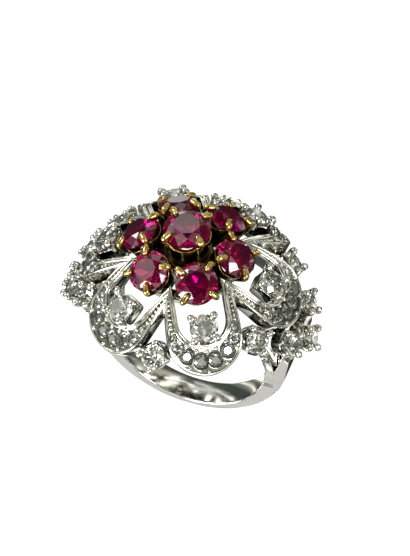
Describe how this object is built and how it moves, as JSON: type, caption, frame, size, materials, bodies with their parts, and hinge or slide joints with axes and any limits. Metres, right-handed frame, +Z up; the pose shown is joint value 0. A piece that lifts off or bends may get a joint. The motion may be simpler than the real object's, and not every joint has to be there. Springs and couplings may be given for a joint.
{
  "type": "flower cluster finger ring",
  "caption": "Finger ring with a domed head of openwork petals set with small clear stones, a red stone cluster in gold claws and a plain forked shank",
  "frame": {"origin": "centre of the bounding box on the surface that the ring lies on", "axes": "+Z is up from that surface; the ring lies on its side on the shank's edge, a petal and one claw, with the head towards -Y and the shoulders along X"},
  "size_m": [0.0272, 0.0256, 0.0211],
  "materials": {
    "white_metal": "polished white gold",
    "yellow_gold": "polished yellow gold",
    "ruby": "faceted ruby",
    "diamond": "faceted diamond"
  },
  "bodies": {
    "root": {"frame": "white_metal", "ruby_setting": "yellow_gold", "ruby_middle": "ruby", "ruby_1": "ruby", "ruby_2": "ruby", "ruby_3": "ruby", "ruby_4": "ruby", "ruby_5": "ruby", "ruby_6": "ruby", "petal_diamond_1": "diamond", "petal_diamond_2": "diamond", "petal_diamond_3": "diamond", "petal_diamond_4": "diamond", "petal_diamond_5": "diamond", "petal_diamond_6": "diamond", "gap_diamond_1": "diamond", "gap_diamond_2": "diamond", "gap_diamond_3": "diamond", "gap_diamond_4": "diamond", "gap_diamond_5": "diamond", "gap_diamond_6": "diamond", "shoulder_diamond_1": "diamond", "shoulder_diamond_2": "diamond", "shoulder_diamond_3": "diamond", "shoulder_diamond_4": "diamond", "shoulder_diamond_5": "diamond", "shoulder_diamond_6": "diamond", "diamond_row_1": "diamond", "diamond_row_2": "diamond", "diamond_row_3": "diamond", "diamond_row_4": "diamond", "diamond_row_5": "diamond", "diamond_row_6": "diamond"}
  },
  "joints": []
}
